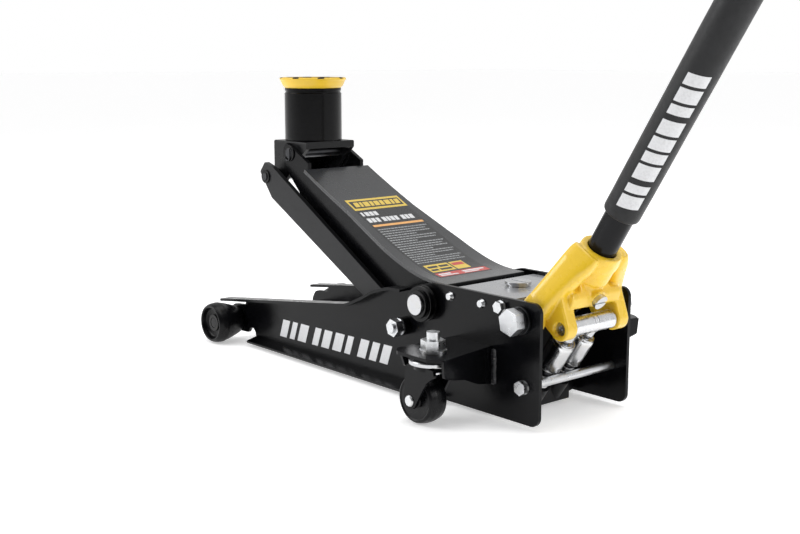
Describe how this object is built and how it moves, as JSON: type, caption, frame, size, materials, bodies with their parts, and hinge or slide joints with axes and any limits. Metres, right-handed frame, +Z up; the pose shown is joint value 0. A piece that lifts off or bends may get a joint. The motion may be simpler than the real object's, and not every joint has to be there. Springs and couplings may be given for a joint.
{
  "type": "hydraulic floor jack",
  "caption": "Low-profile trolley floor jack: steel side frames, hydraulic lifting arm with level saddle, pumping handle in a cast socket, front wheels and swivel casters.",
  "frame": {"origin": "on the floor under the centre of the whole jack's bounding box", "axes": "+X towards the operating handle (rear), +Y across the width, +Z up"},
  "size_m": [1.2124, 0.376, 1.0612],
  "materials": {
    "frame_black": "gloss black powder coat",
    "arm_black": "gloss charcoal powder coat",
    "cover_grey": "satin grey paint",
    "casting_yellow": "gloss yellow enamel on cast iron",
    "saddle_yellow": "satin yellow enamel",
    "zinc": "bright zinc plate",
    "chrome": "polished chrome",
    "steel": "ground steel",
    "black_steel": "black oxide",
    "cast_grey": "black painted casting",
    "wheel_black": "semi-gloss black nylon",
    "rubber": "moulded rubber",
    "foam": "matte closed-cell foam",
    "tube_black": "satin black powder coat"
  },
  "bodies": {
    "frame": {"side_plate_left": "frame_black", "side_plate_right": "frame_black", "front_axle": "steel", "front_axle_washers_and_clips": "black_steel", "caster_brackets": "frame_black", "caster_studs_and_nuts": "zinc", "caster_bearing_races": "chrome", "valve_block": "cast_grey", "ram_cylinder": "steel", "gland_nut": "steel", "reservoir_tank": "cast_grey", "arm_return_springs": "steel", "top_cover": "cover_grey", "cover_fasteners": "zinc", "filler_plug": "chrome", "tie_rod_and_bolts": "zinc", "main_pivot_pin": "zinc", "main_pivot_rings": "black_steel", "socket_pivot_bolts": "zinc", "socket_washers": "black_steel", "link_bolts_lower": "zinc", "link_lower_spacers": "black_steel", "link_nuts": "zinc", "pump_barrels": "steel", "plunger_springs": "steel"},
    "lift_arm": {"arm_top_plate": "arm_black", "arm_webs": "arm_black", "arm_pivot_tube_and_levers": "arm_black"},
    "link_left": {"link_bar_left": "frame_black"},
    "link_right": {"link_bar_right": "frame_black"},
    "saddle_bracket": {"saddle_bracket": "frame_black", "bracket_pins": "black_steel", "bracket_spacers_and_clips": "black_steel"},
    "saddle": {"saddle_post": "tube_black", "saddle_cup": "saddle_yellow", "saddle_pad": "rubber"},
    "ram": {"ram_piston": "steel", "piston_seal": "rubber", "ram_rod": "chrome", "crosshead_pin": "steel"},
    "handle_socket": {"handle_socket": "casting_yellow", "roller_axle_and_clips": "zinc", "handle_set_screw": "zinc"},
    "roller": {"pump_roller": "zinc"},
    "handle": {"handle_lower_tube": "tube_black", "handle_sleeve": "foam", "handle_upper_tube": "tube_black", "handle_grip_and_cap": "rubber", "handle_release_fork": "steel"},
    "release_valve": {"release_valve_stem": "steel"},
    "plunger_near": {"pump_plunger_near": "zinc"},
    "plunger_far": {"pump_plunger_far": "zinc"},
    "caster_fork_left": {"caster_fork_left": "frame_black", "caster_axle_rivet_left": "zinc"},
    "caster_fork_right": {"caster_fork_right": "frame_black", "caster_axle_rivet_right": "zinc"},
    "caster_wheel_left": {"caster_wheel_left": "wheel_black"},
    "caster_wheel_right": {"caster_wheel_right": "wheel_black"},
    "front_wheel_left": {"front_wheel_left": "wheel_black"},
    "front_wheel_right": {"front_wheel_right": "wheel_black"}
  },
  "joints": [
    {"name": "lift", "type": "hinge", "parent": "frame", "child": "lift_arm", "pos_m": [-0.13256, 0, 0.1265], "axis": [0, 1, 0], "range_deg": [-36, 30]},
    {"name": "link_left_turn", "type": "hinge", "parent": "frame", "child": "link_left", "pos_m": [-0.17356, -0.063, 0.0895], "axis": [0, 1, 0], "range_deg": [-36.2, 30.2]},
    {"name": "link_right_turn", "type": "hinge", "parent": "frame", "child": "link_right", "pos_m": [-0.17356, 0.063, 0.0895], "axis": [0, 1, 0], "range_deg": [-36.2, 30.2]},
    {"name": "saddle_level", "type": "hinge", "parent": "lift_arm", "child": "saddle_bracket", "pos_m": [-0.47316, 0, 0.296], "axis": [0, 1, 0], "range_deg": [-30.2, 36.2]},
    {"name": "saddle_swivel", "type": "hinge", "parent": "saddle_bracket", "child": "saddle", "pos_m": [-0.48316, 0, 0.34], "axis": [0, 0, 1], "continuous": true},
    {"name": "ram_slide", "type": "slide", "parent": "frame", "child": "ram", "axis": [-1, 0, 0], "range_m": [-0.0229, 0.0191]},
    {"name": "handle_pump", "type": "hinge", "parent": "frame", "child": "handle_socket", "pos_m": [0.03314, 0, 0.1313], "axis": [0, 1, 0], "range_deg": [-20, 50]},
    {"name": "roller_spin", "type": "hinge", "parent": "handle_socket", "child": "roller", "pos_m": [0.06838, 0, 0.12212], "axis": [0, 1, 0], "continuous": true},
    {"name": "handle_twist", "type": "hinge", "parent": "handle_socket", "child": "handle", "pos_m": [0.03314, 0, 0.1313], "axis": [0.518, 0, 0.8554], "range_deg": [0, 120]},
    {"name": "release_valve_turn", "type": "hinge", "parent": "frame", "child": "release_valve", "pos_m": [0.03314, 0, 0.1313], "axis": [0.518, 0, 0.8554], "range_deg": [-1, 121]},
    {"name": "plunger_near_slide", "type": "slide", "parent": "frame", "child": "plunger_near", "axis": [-0.5592, 0, -0.829], "range_m": [-0.0123, 0.0307]},
    {"name": "plunger_far_slide", "type": "slide", "parent": "frame", "child": "plunger_far", "axis": [-0.5592, 0, -0.829], "range_m": [-0.0123, 0.0307]},
    {"name": "caster_swivel_left", "type": "hinge", "parent": "frame", "child": "caster_fork_left", "pos_m": [-0.04016, -0.156, 0.06], "axis": [0, 0, 1], "continuous": true},
    {"name": "caster_swivel_right", "type": "hinge", "parent": "frame", "child": "caster_fork_right", "pos_m": [-0.04016, 0.156, 0.06], "axis": [0, 0, 1], "continuous": true},
    {"name": "caster_roll_left", "type": "hinge", "parent": "caster_fork_left", "child": "caster_wheel_left", "pos_m": [-0.05816, -0.156, 0.031], "axis": [0, 1, 0], "continuous": true},
    {"name": "caster_roll_right", "type": "hinge", "parent": "caster_fork_right", "child": "caster_wheel_right", "pos_m": [-0.05816, 0.156, 0.031], "axis": [0, 1, 0], "continuous": true},
    {"name": "front_roll_left", "type": "hinge", "parent": "frame", "child": "front_wheel_left", "pos_m": [-0.57516, -0.11, 0.031], "axis": [0, 1, 0], "continuous": true},
    {"name": "front_roll_right", "type": "hinge", "parent": "frame", "child": "front_wheel_right", "pos_m": [-0.57516, 0.11, 0.031], "axis": [0, 1, 0], "continuous": true}
  ],
  "couplings": [
    {"joint": "link_left_turn", "follows": "lift", "ratio": 1},
    {"joint": "link_right_turn", "follows": "lift", "ratio": 1},
    {"joint": "saddle_level", "follows": "lift", "ratio": -1},
    {"joint": "ram_slide", "follows": "lift", "m_per_rad": 0.0363},
    {"joint": "plunger_near_slide", "follows": "handle_pump", "m_per_rad": 0.035},
    {"joint": "plunger_far_slide", "follows": "handle_pump", "m_per_rad": 0.035},
    {"joint": "release_valve_turn", "follows": "handle_twist", "ratio": 1}
  ]
}
